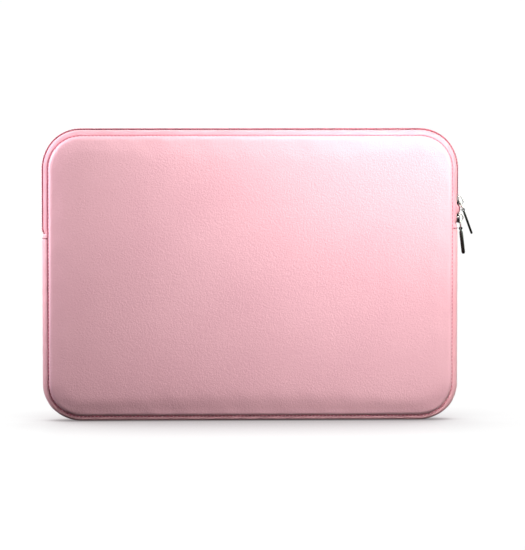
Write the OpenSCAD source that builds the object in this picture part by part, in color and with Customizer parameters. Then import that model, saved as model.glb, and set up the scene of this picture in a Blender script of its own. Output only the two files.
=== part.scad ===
// Padded laptop sleeve, standing on its closed long edge.
// Two padded panels are sewn to a padded gusset round the bottom and to a coil zip round the top.
// Units are millimetres. +X is to the right, +Z is up, and the front panel faces -Y.
// The origin is on the surface the sleeve stands on, at the middle of its width and depth.

/* [Panels] */
// Width of a panel, seam to seam
panel_w = 334; // [300:1:380]
// Height of a panel, seam to seam
panel_h = 232; // [220:1:270]
// Radius of a panel's corners at the seam
corner_r = 27; // [20:1:32]
// Depth from the middle plane to a panel's outer face
half_depth = 14; // [13:0.5:16]
// Radius of a panel's padded edge
edge_round = 4; // [3:0.5:4]
// Thickness of the outer fabric
skin_t = 0.7; // [0.6:0.1:0.8]
// Thickness of a panel's foam
foam_t = 3.5; // [3.5:0.1:3.9]
// Thickness of the plush lining
lining_t = 0.8; // [0.5:0.1:1]

/* [Gusset] */
// How far the gusset bulges beyond the seam
gusset_rise = 4; // [4:0.5:5]
// Radius of the gusset's two outer edges
gusset_round = 2.4; // [2:0.1:3.5]
// Thickness of the gusset's foam
gusset_foam_t = 2.2; // [1.5:0.1:2.4]
// Length of the fabric tab over each end of the zip
tab_len = 5; // [4:0.5:8]

/* [Zip] */
// Height of the zip's left end above the floor
zip_end_left = 155; // [120:1:160]
// Height of the zip's right end above the floor
zip_end_right = 163; // [140:1:163]
// How far the tape bulges beyond the seam
tape_rise = 4.2; // [4:0.1:5]
// Thickness of the zip tape
tape_t = 0.7; // [0.5:0.1:0.8]
// Height of the coil above the tape
coil_h = 1.4; // [1:0.1:1.4]
// Width of each coil row
coil_w = 2.4; // [2:0.1:2.4]
// Gap between the two coil rows, where the slider's web runs
coil_gap = 1.2; // [1.2:0.1:1.4]

/* [Fold] */
// Height at which the front panel folds open
fold_z = 188; // [188:1:196]

/* [Sliders] */
// Length of a slider along the zip
slider_len = 8; // [7:0.5:8]
// Height of the middle of the upper slider
upper_z = 182.4; // [182:0.1:183]
// Height of the middle of the lower slider
lower_z = 167.4; // [167.4:0.1:168.4]
// Outer radius of the arch that holds the pull
arch_r = 3.9; // [3.7:0.1:4]

/* [Pulls] */
// Radius of the link's wire
wire_r = 0.45; // [0.4:0.05:0.5]
// Length of the link between its two cross bars
link_len = 6.8; // [6:0.1:7]
// Length of the pull from its eye to its tip
pull_len = 21.3; // [18:0.1:24]
// Width of the pull
pull_w = 4.6; // [4:0.1:5]
// Thickness of the pull
pull_t = 1.6; // [1.2:0.1:1.6]
// Angle of the upper link away from straight down
upper_link_angle = 22; // [20:1:40]
// Angle of the upper pull away from straight down
upper_pull_angle = 20; // [15:0.5:40]
// Angle of the lower link away from straight down
lower_link_angle = 4; // [2:1:20]
// Angle of the lower pull away from straight down
lower_pull_angle = 6.5; // [4:0.5:20]
// How far the lower pull is turned about its own length
lower_pull_turn = 18; // [0:1:18]

/* [Hidden] */
$fn = 64;

pink = "pink";
blush = "lightpink";
rose = "hotpink";
steel = "silver";

seam_y = half_depth - edge_round;       // distance of each seam from the middle plane
skin_y = half_depth - skin_t;           // inner face of a panel's outer fabric
foam_y = skin_y - foam_t;               // inner face of a panel's foam
lining_y = foam_y - lining_t;           // inner face of a panel's lining
foam_round = edge_round - skin_t;
center_z = gusset_rise + panel_h / 2;   // height of the middle of the panels
split_gap = 0.3;                        // gap between the two sides of the fold
tape_flat = 4.5;                        // half width of the flat strip that the coil sits on
tape_span = seam_y - tape_flat;
tape_r = (tape_rise * tape_rise + tape_span * tape_span) / (2 * tape_rise);
least_round = 0.2;                      // radius of the gusset's innermost edges
binding_w = 1.6;
binding_t = 1.2;
thread_r = 0.22;
big = 600;                              // larger than the sleeve, for cutting it in half
side_run = panel_h / 2 - corner_r;      // half the straight length of a side edge
long_run = panel_w / 2 - corner_r;      // half the straight length of a long edge

// ---- Laying out ----
// The sleeve's soft parts are drawn lying on their back, with the front towards +Z and the top
// edge towards +Y, and are then stood up.

module stand_up() {
    translate([0, 0, center_z]) rotate([90, 0, 0]) children();
}

module rounded_rect(w, h, r) {
    square([w - 2 * r, h], center = true);
    square([w, h - 2 * r], center = true);
    for (x = [-1, 1], y = [-1, 1]) translate([x * (w / 2 - r), y * (h / 2 - r)]) circle(r);
}

module plate(inset, low, high) {
    translate([0, 0, low]) linear_extrude(high - low)
        rounded_rect(panel_w - 2 * inset, panel_h - 2 * inset, corner_r - inset);
}

// A straight run of an edge profile. Side 0 is the right edge, and the sides count anticlockwise.
// The profile's X points away from the panel, and its Y towards the front.
module run(side, from, to) {
    reach = side % 2 == 0 ? panel_w / 2 : panel_h / 2;
    rotate([0, 0, 90 * side]) translate([reach, to, 0]) rotate([90, 0, 0])
        linear_extrude(to - from) children();
}

// A corner of an edge profile. Corner 0 is the top right one, and they count anticlockwise.
module bend(corner) {
    x = corner == 0 || corner == 3 ? long_run : -long_run;
    y = corner < 2 ? side_run : -side_run;
    translate([x, y, 0]) rotate([0, 0, 90 * corner]) rotate_extrude(angle = 90)
        translate([corner_r, 0]) children();
}

module whole_edge() {
    for (corner = [0 : 3]) bend(corner) children();
    for (side = [0, 2]) run(side, -side_run, side_run) children();
    for (side = [1, 3]) run(side, -long_run, long_run) children();
}

// The edge above the given heights at the left and at the right.
module top_edge(left, right) {
    run(0, right - center_z, side_run) children();
    bend(0) children();
    run(1, -long_run, long_run) children();
    bend(1) children();
    run(2, -side_run, center_z - left) children();
}

// The edge below the given heights at the left and at the right.
module bottom_edge(left, right) {
    run(0, -side_run, right - center_z) children();
    bend(3) children();
    run(3, -long_run, long_run) children();
    bend(2) children();
    run(2, center_z - left, side_run) children();
}

module below_fold() {
    intersection() {
        children();
        translate([-big / 2, fold_z - center_z - big, -big / 2]) cube(big);
    }
}

module above_fold() {
    intersection() {
        children();
        translate([-big / 2, fold_z - center_z + split_gap, -big / 2]) cube(big);
    }
}

// ---- Panels ----

module quarter_ring(outer, inner) {
    intersection() {
        translate([-edge_round, seam_y]) difference() {
            circle(outer);
            circle(inner);
        }
        translate([-edge_round, seam_y]) square(edge_round);
    }
}

module panel_skin() {
    plate(edge_round, skin_y, half_depth);
    whole_edge() quarter_ring(edge_round, foam_round);
}

module foam_edge() {
    intersection() {
        translate([-edge_round, seam_y]) circle(foam_round);
        translate([-edge_round, seam_y]) square(edge_round);
    }
    translate([-edge_round, foam_y]) square([foam_round, seam_y - foam_y]);
}

module panel_foam() {
    plate(edge_round, foam_y, skin_y);
    whole_edge() foam_edge();
}

module panel_lining() {
    plate(0, lining_y, foam_y);
}

module back_skin() {
    color(pink) stand_up() mirror([0, 0, 1]) panel_skin();
}

module back_foam() {
    color("gray") stand_up() mirror([0, 0, 1]) panel_foam();
}

module back_lining() {
    color(blush) stand_up() mirror([0, 0, 1]) panel_lining();
}

module front_skin() {
    color(pink) stand_up() below_fold() panel_skin();
}

module front_foam() {
    color("gray") stand_up() below_fold() panel_foam();
}

module front_lining() {
    color(blush) stand_up() below_fold() panel_lining();
}

module flap_skin() {
    color(pink) stand_up() above_fold() panel_skin();
}

module flap_foam() {
    color("gray") stand_up() above_fold() panel_foam();
}

module flap_lining() {
    color(blush) stand_up() above_fold() panel_lining();
}

// ---- Gusset and tabs ----

module gusset_shape(inset) {
    r = max(gusset_round - inset, least_round);
    rise = gusset_rise - inset;
    half = seam_y - inset;
    translate([0, -half]) square([rise - r, 2 * half]);
    translate([0, r - half]) square([rise, 2 * (half - r)]);
    for (side = [-1, 1]) translate([rise - r, side * (half - r)]) intersection() {
        circle(r);
        translate([0, side * r / 2]) square([2 * r, r], center = true);
        translate([0, -r]) square([r, 2 * r]);
    }
}

module gusset_layer(outer, inner) {
    difference() {
        gusset_shape(outer);
        gusset_shape(inner);
    }
}

module gusset_run(outer, inner) {
    bottom_edge(zip_end_left - tab_len, zip_end_right - tab_len) gusset_layer(outer, inner);
}

gusset_lining_at = skin_t + gusset_foam_t;
gusset_inner = gusset_lining_at + 0.5;

module gusset_skin() {
    color(pink) stand_up() gusset_run(0, skin_t);
}

module gusset_foam() {
    color("gray") stand_up() gusset_run(skin_t, gusset_lining_at);
}

module gusset_lining() {
    color(blush) stand_up() gusset_run(gusset_lining_at, gusset_inner);
}

tab_sink = 0.5;
tab_t = 1.8;

module left_zip_end_tab() {
    low = center_z - zip_end_left;
    color(pink) stand_up() run(2, low, low + tab_len) gusset_layer(tab_sink, tab_sink + tab_t);
}

module right_zip_end_tab() {
    high = zip_end_right - center_z;
    color(pink) stand_up() run(0, high - tab_len, high) gusset_layer(tab_sink, tab_sink + tab_t);
}

// ---- Zip ----

module tape_shape() {
    translate([tape_rise - tape_t, coil_gap / 2]) square([tape_t, tape_flat - coil_gap / 2]);
    intersection() {
        translate([tape_rise - tape_r, tape_flat]) difference() {
            circle(tape_r);
            circle(tape_r - tape_t);
        }
        translate([0, tape_flat]) square([tape_rise, tape_span]);
    }
}

module coil_shape() {
    r = coil_h / 2;
    translate([tape_rise + r, coil_gap / 2 + r]) {
        circle(r);
        translate([-r, 0]) square([coil_h, coil_w - coil_h]);
        translate([0, coil_w - coil_h]) circle(r);
    }
}

module zip_edge() {
    top_edge(zip_end_left, zip_end_right) children();
}

module back_zip_tape() {
    color(rose) stand_up() mirror([0, 0, 1]) zip_edge() tape_shape();
}

module back_zip_coil() {
    color(rose) stand_up() mirror([0, 0, 1]) zip_edge() coil_shape();
}

module flap_zip_tape() {
    color(rose) stand_up() above_fold() zip_edge() tape_shape();
}

module flap_zip_coil() {
    color(rose) stand_up() above_fold() zip_edge() coil_shape();
}

// The two ends of the front row, which stay below the fold.

module left_end() {
    color(rose) stand_up() run(2, center_z - fold_z, center_z - zip_end_left) children();
}

module right_end() {
    color(rose) stand_up() run(0, zip_end_right - center_z, fold_z - center_z) children();
}

module left_zip_tape_end() {
    left_end() tape_shape();
}

module left_zip_coil_end() {
    left_end() coil_shape();
}

module right_zip_tape_end() {
    right_end() tape_shape();
}

module right_zip_coil_end() {
    right_end() coil_shape();
}

// ---- Seams ----

module binding_shape() {
    translate([-binding_w, lining_y - binding_t]) square([binding_w, binding_t]);
}

module thread_shape() {
    translate([thread_r, seam_y + thread_r]) circle(thread_r);
}

module back_seam_binding() {
    color(rose) stand_up() mirror([0, 0, 1]) whole_edge() binding_shape();
}

module front_seam_binding() {
    color(rose) stand_up() bottom_edge(fold_z, fold_z) binding_shape();
}

module flap_seam_binding() {
    color(rose) stand_up() top_edge(fold_z + split_gap, fold_z + split_gap) binding_shape();
}

module back_seam_thread() {
    color(rose) stand_up() mirror([0, 0, 1]) whole_edge() thread_shape();
}

module front_seam_thread() {
    color(rose) stand_up() bottom_edge(fold_z, fold_z) thread_shape();
}

module flap_seam_thread() {
    color(rose) stand_up() top_edge(fold_z + split_gap, fold_z + split_gap) thread_shape();
}

// ---- Sliders ----
// A slider is drawn with its middle at the origin, on the tape's outer face.
// X points out of the tape, Y across the zip and Z along it, with the mouth at -Z.

tape_x = panel_w / 2 + tape_rise;       // the tape's outer face on the right edge
wing_t = 1;
inner_wing_x = -tape_t - 0.3 - wing_t;
outer_wing_x = coil_h + 0.25;
wing_top = outer_wing_x + wing_t;
flange_y = coil_gap / 2 + coil_w + 0.3;
mouth_half = 4.3;                       // half width of a slider at its mouth
tail_half = 4.0;                        // half width of a slider at its tail
web_half = 0.4;
web_len = 3.2;
arch_half = 1.1;                        // half width of the arch
arch_t = 1.1;
arch_x = wing_top - 0.5;                // centre of the arch's round
pivot_x = wing_top + wire_r + 0.2;     // where the link's upper bar hangs in the arch
pivot_z = -1.8;
arm_y = 2.05;                           // where the link's two arms run
link_bend = 0.9;
eye_r = 1.4;
eye_bore_r = wire_r + 0.4;
eye_half = 0.9;

module wing_plan() {
    intersection() {
        circle(5.3);
        polygon([
            [-tail_half, slider_len / 2], [tail_half, slider_len / 2], [mouth_half, 0],
            [mouth_half, -slider_len / 2], [-mouth_half, -slider_len / 2], [-mouth_half, 0]
        ]);
    }
}

// Extrudes a plan of the slider, drawn across and along the zip, between two distances from the tape.
module slab(low, high) {
    translate([low, 0, 0]) rotate([90, 0, 90]) linear_extrude(high - low) children();
}

module arch_shape() {
    intersection() {
        difference() {
            circle(arch_r);
            circle(arch_r - arch_t);
        }
        translate([wing_top - arch_x - 0.2, -arch_r]) square([arch_r, 2 * arch_r]);
    }
}

module slider_body() {
    slab(inner_wing_x, inner_wing_x + wing_t) wing_plan();
    slab(outer_wing_x, wing_top) wing_plan();
    for (side = [-1, 1]) slab(0.3, outer_wing_x) intersection() {
        wing_plan();
        translate([side * (flange_y + 1), 0]) square([2, slider_len], center = true);
    }
    slab(inner_wing_x + wing_t, outer_wing_x)
        polygon([[-web_half, -slider_len / 2 + 0.6], [web_half, -slider_len / 2 + 0.6],
            [0.15, -slider_len / 2 + 0.6 + web_len], [-0.15, -slider_len / 2 + 0.6 + web_len]]);
    translate([arch_x, arch_half, 0]) rotate([90, 0, 0]) linear_extrude(2 * arch_half) arch_shape();
}

module at_slider(z) {
    translate([tape_x, 0, z]) children();
}

module upper_slider() {
    color(steel) at_slider(upper_z) slider_body();
}

module lower_slider() {
    color(steel) at_slider(lower_z) mirror([0, 0, 1]) slider_body();
}

// ---- Links and pulls ----
// Each is drawn hanging straight down from its pivot at the origin, and is then swung outwards.

module swing(angle) {
    rotate([0, -angle, 0]) children();
}

module link() {
    arm = link_len - 2 * link_bend;
    cross = arm_y - link_bend;
    for (z = [0, -link_len]) translate([0, cross, z]) rotate([90, 0, 0]) cylinder(h = 2 * cross, r = wire_r);
    for (y = [-arm_y, arm_y]) translate([0, y, -link_len + link_bend]) cylinder(h = arm, r = wire_r);
    for (end = [0 : 3]) {
        y = end == 0 || end == 3 ? cross : -cross;
        z = end < 2 ? -link_bend : -link_len + link_bend;
        translate([0, y, z]) rotate([90, 0, 90]) rotate([0, 0, 90 * end])
            rotate_extrude(angle = 90) translate([link_bend, 0]) circle(wire_r);
    }
}

module pull() {
    blade_top = 2.6;
    difference() {
        union() {
            rotate([90, 0, 0]) cylinder(h = 2 * eye_half, r = eye_r, center = true);
            translate([-pull_t / 2, -eye_half, -blade_top - 0.6]) cube([pull_t, 2 * eye_half, blade_top + 0.6]);
            slab(-pull_t / 2, pull_t / 2) {
                translate([-pull_w / 2, -pull_len + pull_w / 2]) square([pull_w, pull_len - pull_w / 2 - blade_top]);
                translate([0, -pull_len + pull_w / 2]) circle(pull_w / 2);
            }
        }
        rotate([90, 0, 0]) cylinder(h = 4 * eye_half, r = eye_bore_r, center = true);
    }
}

module at_pivot(z) {
    at_slider(z) translate([pivot_x, 0, pivot_z]) children();
}

module at_eye(z, link_angle) {
    at_pivot(z) translate([link_len * sin(link_angle), 0, -link_len * cos(link_angle)]) children();
}

module upper_link() {
    color(steel) at_pivot(upper_z) swing(upper_link_angle) link();
}

module upper_pull() {
    color("dimgray") at_eye(upper_z, upper_link_angle) swing(upper_pull_angle) pull();
}

module lower_link() {
    color(steel) at_pivot(lower_z) swing(lower_link_angle) link();
}

module lower_pull() {
    color("dimgray") at_eye(lower_z, lower_link_angle) swing(lower_pull_angle)
        rotate([0, 0, lower_pull_turn]) pull();
}

back_skin();
back_foam();
back_lining();
front_skin();
front_foam();
front_lining();
flap_skin();
flap_foam();
flap_lining();
gusset_skin();
gusset_foam();
gusset_lining();
back_zip_tape();
back_zip_coil();
flap_zip_tape();
flap_zip_coil();
left_zip_tape_end();
left_zip_coil_end();
right_zip_tape_end();
right_zip_coil_end();
left_zip_end_tab();
right_zip_end_tab();
back_seam_binding();
front_seam_binding();
flap_seam_binding();
back_seam_thread();
front_seam_thread();
flap_seam_thread();
upper_slider();
upper_link();
upper_pull();
lower_slider();
lower_link();
lower_pull();
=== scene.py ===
"""Looks of the laptop sleeve: soft panels, gusset, coil zip, sliders and pulls, in the CAD's frame."""

import math

import bmesh
import bpy
import numpy as np
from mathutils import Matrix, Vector, noise


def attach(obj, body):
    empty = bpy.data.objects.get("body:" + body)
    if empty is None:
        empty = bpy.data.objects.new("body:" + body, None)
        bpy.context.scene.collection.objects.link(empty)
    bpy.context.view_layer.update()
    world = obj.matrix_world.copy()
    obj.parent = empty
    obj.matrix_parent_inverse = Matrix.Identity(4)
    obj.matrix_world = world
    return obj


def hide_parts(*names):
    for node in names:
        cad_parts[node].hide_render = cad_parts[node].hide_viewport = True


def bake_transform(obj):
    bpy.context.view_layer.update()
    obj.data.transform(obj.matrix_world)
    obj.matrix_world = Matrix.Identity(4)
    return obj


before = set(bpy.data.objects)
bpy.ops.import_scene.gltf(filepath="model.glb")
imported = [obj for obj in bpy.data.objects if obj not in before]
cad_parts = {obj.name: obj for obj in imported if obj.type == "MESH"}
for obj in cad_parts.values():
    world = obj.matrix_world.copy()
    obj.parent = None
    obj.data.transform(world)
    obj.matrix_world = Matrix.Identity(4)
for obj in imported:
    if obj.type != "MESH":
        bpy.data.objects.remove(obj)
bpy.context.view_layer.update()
MM = 0.001

# ---- Camera: almost straight from the front, through a long lens, a little above the floor ----
camera_data = bpy.data.cameras.new("camera")
camera = bpy.data.objects.new("camera", camera_data)
bpy.context.scene.collection.objects.link(camera)
camera_data.lens = 220
camera_data.sensor_width = 36
camera_data.clip_start = 0.05
camera_data.clip_end = 40
ELEVATION, AZIMUTH = math.radians(3.5), math.radians(2.2)  # the camera stands a little up and to the left
DISTANCE = 2.776
AIM = Vector((0.0096, -0.014, 0.1212))
level = math.cos(ELEVATION)
away = Vector((-math.sin(AZIMUTH) * level, -math.cos(AZIMUTH) * level, math.sin(ELEVATION)))
camera.location = AIM + away * DISTANCE
camera.rotation_euler = away.to_track_quat("Z", "Y").to_euler()
bpy.context.scene.camera = camera

# ---- Sizes, in millimetres ----
PANEL_W, PANEL_H, CORNER = 334.0, 232.0, 27.0
SEAM_Y = 10.0  # each seam's distance from the middle plane
RISE = 4.0  # how far the gusset stands out from the seam
CENTER_Z = RISE + PANEL_H / 2
TAPE_RISE, TAPE_T, TAPE_FLAT = 4.2, 0.7 * 0.8, 4.5
ZIP_LEFT, ZIP_RIGHT = 155.0, 163.0  # heights of the zip's two ends
TAB = 5.0
UPPER_Z, LOWER_Z = 182.4, 167.4
SIDE_RUN = PANEL_H / 2 - CORNER
LONG_RUN = PANEL_W / 2 - CORNER
ARC = CORNER * math.pi / 2
PERIMETER = 4 * (SIDE_RUN + LONG_RUN) + 4 * ARC
PULL_PITCH = 3.0  # the cloth is drawn in this often along a seam

collection = bpy.context.scene.collection


# ---- The seam line, as a path that runs round the panels ----
def seam_point(s):
    """The point x, z at the distance s along the seam, and the outward direction. It starts at the middle of
    the right edge and runs up and over the top, anticlockwise as seen from the front."""
    s = s % PERIMETER
    pieces = [SIDE_RUN, ARC, 2 * LONG_RUN, ARC, 2 * SIDE_RUN, ARC, 2 * LONG_RUN, ARC, SIDE_RUN]
    starts = [
        ((PANEL_W / 2, 0), (0, 1)), ((LONG_RUN, SIDE_RUN), 0), ((LONG_RUN, PANEL_H / 2), (-1, 0)),
        ((-LONG_RUN, SIDE_RUN), 90), ((-PANEL_W / 2, SIDE_RUN), (0, -1)), ((-LONG_RUN, -SIDE_RUN), 180),
        ((-LONG_RUN, -PANEL_H / 2), (1, 0)), ((LONG_RUN, -SIDE_RUN), 270), ((PANEL_W / 2, -SIDE_RUN), (0, 1)),
    ]
    for length, (point, way) in zip(pieces, starts):
        if s <= length + 1e-9:
            if isinstance(way, tuple):
                at = (point[0] + way[0] * s, point[1] + way[1] * s)
                return at[0], at[1] + CENTER_Z, way[1], -way[0]
            a = math.radians(way) + s / CORNER
            nx, nz = math.cos(a), math.sin(a)
            return point[0] + CORNER * nx, point[1] + CORNER * nz + CENTER_Z, nx, nz
        s -= length
    raise ValueError("past the end of the seam")


def s_right(z):
    """Distance along the seam of a height on the right edge."""
    return z - CENTER_Z


def s_left(z):
    """Distance along the seam of a height on the left edge, measured over the top."""
    return SIDE_RUN + ARC + 2 * LONG_RUN + ARC + (SIDE_RUN - (z - CENTER_Z))


def inset_of(x, z):
    """How far inside the seam the points x, z are."""
    px, pz = np.abs(x), np.abs(z - CENTER_Z)
    dx, dz = px - LONG_RUN, pz - SIDE_RUN
    corner = CORNER - np.hypot(np.maximum(dx, 0), np.maximum(dz, 0))
    straight = np.minimum(PANEL_W / 2 - px, PANEL_H / 2 - pz)
    return np.where((dx > 0) & (dz > 0), corner, straight)


def along_of(x, z):
    """The distance along the seam of the seam point nearest to each point x, z."""
    q = z - CENTER_Z
    cx, cz = np.clip(x, -LONG_RUN, LONG_RUN), np.clip(q, -SIDE_RUN, SIDE_RUN)
    ex, ez = x - cx, q - cz
    corner = (np.abs(ex) > 1e-6) & (np.abs(ez) > 1e-6)
    angle = np.mod(np.arctan2(ez, ex), 2 * math.pi)
    turn = np.floor(angle / (math.pi / 2))
    base = np.select(
        [turn == 0, turn == 1, turn == 2],
        [SIDE_RUN, SIDE_RUN + ARC + 2 * LONG_RUN, SIDE_RUN * 3 + 2 * ARC + 2 * LONG_RUN],
        SIDE_RUN * 3 + 3 * ARC + 4 * LONG_RUN,
    )
    round_s = base + (angle - turn * math.pi / 2) * CORNER
    side = (PANEL_W / 2 - np.abs(x)) < (PANEL_H / 2 - np.abs(q))
    flat_s = np.where(
        side,
        np.where(x > 0, q, SIDE_RUN * 2 + 2 * ARC + 2 * LONG_RUN - q),
        np.where(q > 0, SIDE_RUN + ARC + LONG_RUN - x, SIDE_RUN * 3 + 3 * ARC + 3 * LONG_RUN + x),
    )
    return np.where(corner, round_s, flat_s)


# ---- Mesh helpers ----
def placed(name, mesh):
    """A smooth-shaded object with the given mesh, in the scene."""
    o = bpy.data.objects.new(name, mesh)
    collection.objects.link(o)
    mesh.polygons.foreach_set("use_smooth", [True] * len(mesh.polygons))
    return o


def new_object(name, verts, faces):
    """A mesh object from points in millimetres."""
    mesh = bpy.data.meshes.new(name)
    mesh.from_pydata([tuple(float(c) * MM for c in v) for v in verts], [], faces)
    mesh.validate()
    mesh.update()
    return placed(name, mesh)


def points_of(o):
    co = np.zeros(len(o.data.vertices) * 3, np.float64)
    o.data.vertices.foreach_get("co", co)
    return co.reshape(-1, 3) / MM


def set_points(o, p):
    o.data.vertices.foreach_set("co", (p * MM).astype(np.float32).ravel())
    o.data.update()


def apply_modifiers(o):
    """Bakes the modifiers into the mesh."""
    dg = bpy.context.evaluated_depsgraph_get()
    mesh = bpy.data.meshes.new_from_object(o.evaluated_get(dg), depsgraph=dg)
    old = o.data
    o.modifiers.clear()
    o.data = mesh
    bpy.data.meshes.remove(old)
    mesh.polygons.foreach_set("use_smooth", [True] * len(mesh.polygons))
    mesh.update()
    return o


def subdivide(o, levels=1):
    m = o.modifiers.new("subdivision", "SUBSURF")
    m.levels = m.render_levels = levels
    return apply_modifiers(o)


def joined(name, objects):
    """One object from several."""
    bm = bmesh.new()
    for o in objects:
        o.data.transform(o.matrix_world)
        bm.from_mesh(o.data)
    mesh = bpy.data.meshes.new(name)
    bm.to_mesh(mesh)
    bm.free()
    for o in objects:
        bpy.data.objects.remove(o)
    return placed(name, mesh)


def smooth_noise(p, scale, seed):
    """Soft noise from -1 to 1 at points in millimetres."""
    return np.array([noise.noise(Vector((a / scale + seed, b / scale, c / scale))) for a, b, c in p])


def wall_faces(rows, columns):
    """Quads between closed rows of points, one row after the other."""
    faces = []
    for i in range(rows - 1):
        for j in range(columns):
            k = (j + 1) % columns
            faces.append((i * columns + j, i * columns + k, (i + 1) * columns + k, (i + 1) * columns + j))
    return faces


def tube_faces(rows, columns):
    """A tube through the rows, closed by a cap at each end."""
    last = (rows - 1) * columns
    return wall_faces(rows, columns) + [tuple(range(columns))[::-1], tuple(last + j for j in range(columns))]


def loop_faces(rows, columns):
    """A tube through the rows whose last row joins the first."""
    last = (rows - 1) * columns
    return wall_faces(rows, columns) + [
        (last + j, last + (j + 1) % columns, (j + 1) % columns, j) for j in range(columns)
    ]


def sweep(name, profile_at, s_values):
    """A closed strip whose cross-section at s is profile_at(s): points (u, y), with u outward from the seam
    and y from front to back."""
    rows = []
    for s in s_values:
        x, z, nx, nz = seam_point(s)
        rows.append([(x + nx * u, y, z + nz * u) for u, y in profile_at(s)])
    o = new_object(name, [p for row in rows for p in row], tube_faces(len(rows), len(rows[0])))
    outward(o)
    return o


def outward(o):
    """Turns the faces outward."""
    bm = bmesh.new()
    bm.from_mesh(o.data)
    bmesh.ops.recalc_face_normals(bm, faces=bm.faces)
    bm.to_mesh(o.data)
    bm.free()
    o.data.update()


def steps(a, b, step):
    """Evenly spaced values from a to b, about a step apart."""
    n = max(1, round(abs(b - a) / step))
    return [a + (b - a) * i / n for i in range(n + 1)]


# ---- Materials ----
def material(name, roughness, metallic=0.0, sheen=0.0, sheen_roughness=0.5, specular=0.5):
    m = bpy.data.materials.new(name)
    m.use_nodes = True
    tree = m.node_tree
    shader = tree.nodes["Principled BSDF"]
    shader.inputs["Roughness"].default_value = roughness
    shader.inputs["Metallic"].default_value = metallic
    shader.inputs["Sheen Weight"].default_value = sheen
    shader.inputs["Sheen Roughness"].default_value = sheen_roughness
    shader.inputs["Specular IOR Level"].default_value = specular
    return m, tree, shader


def coordinates(tree, scale=(1, 1, 1), rotation=(0, 0, 0)):
    """The object's own coordinates, in metres, scaled."""
    source = tree.nodes.new("ShaderNodeTexCoord")
    mapping = tree.nodes.new("ShaderNodeMapping")
    mapping.inputs["Scale"].default_value = scale
    mapping.inputs["Rotation"].default_value = rotation
    tree.links.new(source.outputs["Object"], mapping.inputs["Vector"])
    return mapping.outputs["Vector"]


def ramp(tree, source, stops):
    """A colour ramp over the source, with its stops as (position, colour)."""
    r = tree.nodes.new("ShaderNodeValToRGB")
    tree.links.new(source, r.inputs["Fac"])
    elements = r.color_ramp.elements
    while len(elements) < len(stops):
        elements.new(0.5)
    for e, (position, colour) in zip(elements, stops):
        e.position = position
        e.color = (*colour, 1)
    return r.outputs["Color"]


def bump(tree, shader, layers):
    """Stacks height fields: (socket, strength, distance)."""
    normal = None
    for height, strength, distance in layers:
        b = tree.nodes.new("ShaderNodeBump")
        b.inputs["Strength"].default_value = strength
        b.inputs["Distance"].default_value = distance
        tree.links.new(height, b.inputs["Height"])
        if normal is not None:
            tree.links.new(normal, b.inputs["Normal"])
        normal = b.outputs["Normal"]
    tree.links.new(normal, shader.inputs["Normal"])


def math_node(tree, operation, a, b=None):
    n = tree.nodes.new("ShaderNodeMath")
    n.operation = operation
    for i, v in enumerate([a, b]):
        if v is None:
            continue
        if isinstance(v, (int, float)):
            n.inputs[i].default_value = v
        else:
            tree.links.new(v, n.inputs[i])
    return n.outputs[0]


def noise_texture(tree, vector, scale, detail=4.0, rough=0.55, distortion=0.0):
    n = tree.nodes.new("ShaderNodeTexNoise")
    tree.links.new(vector, n.inputs["Vector"])
    n.inputs["Scale"].default_value = scale
    n.inputs["Detail"].default_value = detail
    n.inputs["Roughness"].default_value = rough
    n.inputs["Distortion"].default_value = distortion
    return n.outputs[0]


def weave(tree, pitch, vector=None):
    """The over and under of a plain weave, from two crossed waves, for any side of the object."""
    source = vector if vector is not None else coordinates(tree)
    split = tree.nodes.new("ShaderNodeSeparateXYZ")
    tree.links.new(source, split.inputs[0])
    k = 2 * math.pi / (pitch * MM)
    waves = [math_node(tree, "SINE", math_node(tree, "MULTIPLY", split.outputs[i], k)) for i in range(3)]
    first = math_node(tree, "MULTIPLY", waves[0], waves[2])
    return math_node(tree, "ADD", first, math_node(tree, "MULTIPLY", waves[1], 0.5))


def weighted(tree, a, share_a, b, share_b):
    """A mix of two values."""
    return math_node(tree, "ADD", math_node(tree, "MULTIPLY", a, share_a), math_node(tree, "MULTIPLY", b, share_b))


def cloth_material(name, light, dark, crinkle=0.35):
    """Fine soft-touch cloth with a crinkled grain, a fine weave and slow colour variation."""
    m, tree, shader = material(name, 0.55, sheen=0.30, sheen_roughness=0.5, specular=0.75)
    position = coordinates(tree)
    slow = noise_texture(tree, position, scale=14, detail=3, rough=0.5)
    fine = noise_texture(tree, position, scale=950, detail=5, rough=0.6)
    mixed = weighted(tree, slow, 0.7, fine, 0.3)
    tree.links.new(ramp(tree, mixed, [(0.3, dark), (0.7, light)]), shader.inputs["Base Color"])
    cells = tree.nodes.new("ShaderNodeTexVoronoi")
    cells.feature = "DISTANCE_TO_EDGE"
    cells.inputs["Scale"].default_value = 900
    cells.inputs["Randomness"].default_value = 1.0
    warped = tree.nodes.new("ShaderNodeVectorMath")
    warped.operation = "ADD"
    wobble = tree.nodes.new("ShaderNodeTexNoise")
    wobble.inputs["Scale"].default_value = 260
    tree.links.new(position, wobble.inputs["Vector"])
    shrink = tree.nodes.new("ShaderNodeVectorMath")
    shrink.operation = "SCALE"
    shrink.inputs["Scale"].default_value = 0.004
    tree.links.new(wobble.outputs["Color"], shrink.inputs[0])
    tree.links.new(position, warped.inputs[0])
    tree.links.new(shrink.outputs[0], warped.inputs[1])
    tree.links.new(warped.outputs[0], cells.inputs["Vector"])
    grain = math_node(tree, "MINIMUM", cells.outputs["Distance"], 0.28)
    broad = noise_texture(tree, position, scale=640, rough=0.6, distortion=0.5)
    roughness = math_node(tree, "ADD", math_node(tree, "MULTIPLY", fine, 0.16), 0.46)
    tree.links.new(roughness, shader.inputs["Roughness"])
    threads = weave(tree, 0.42)
    bump(tree, shader, [(broad, crinkle, 0.0009), (grain, crinkle, 0.0004), (threads, 0.10, 0.00008)])
    return m


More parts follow.
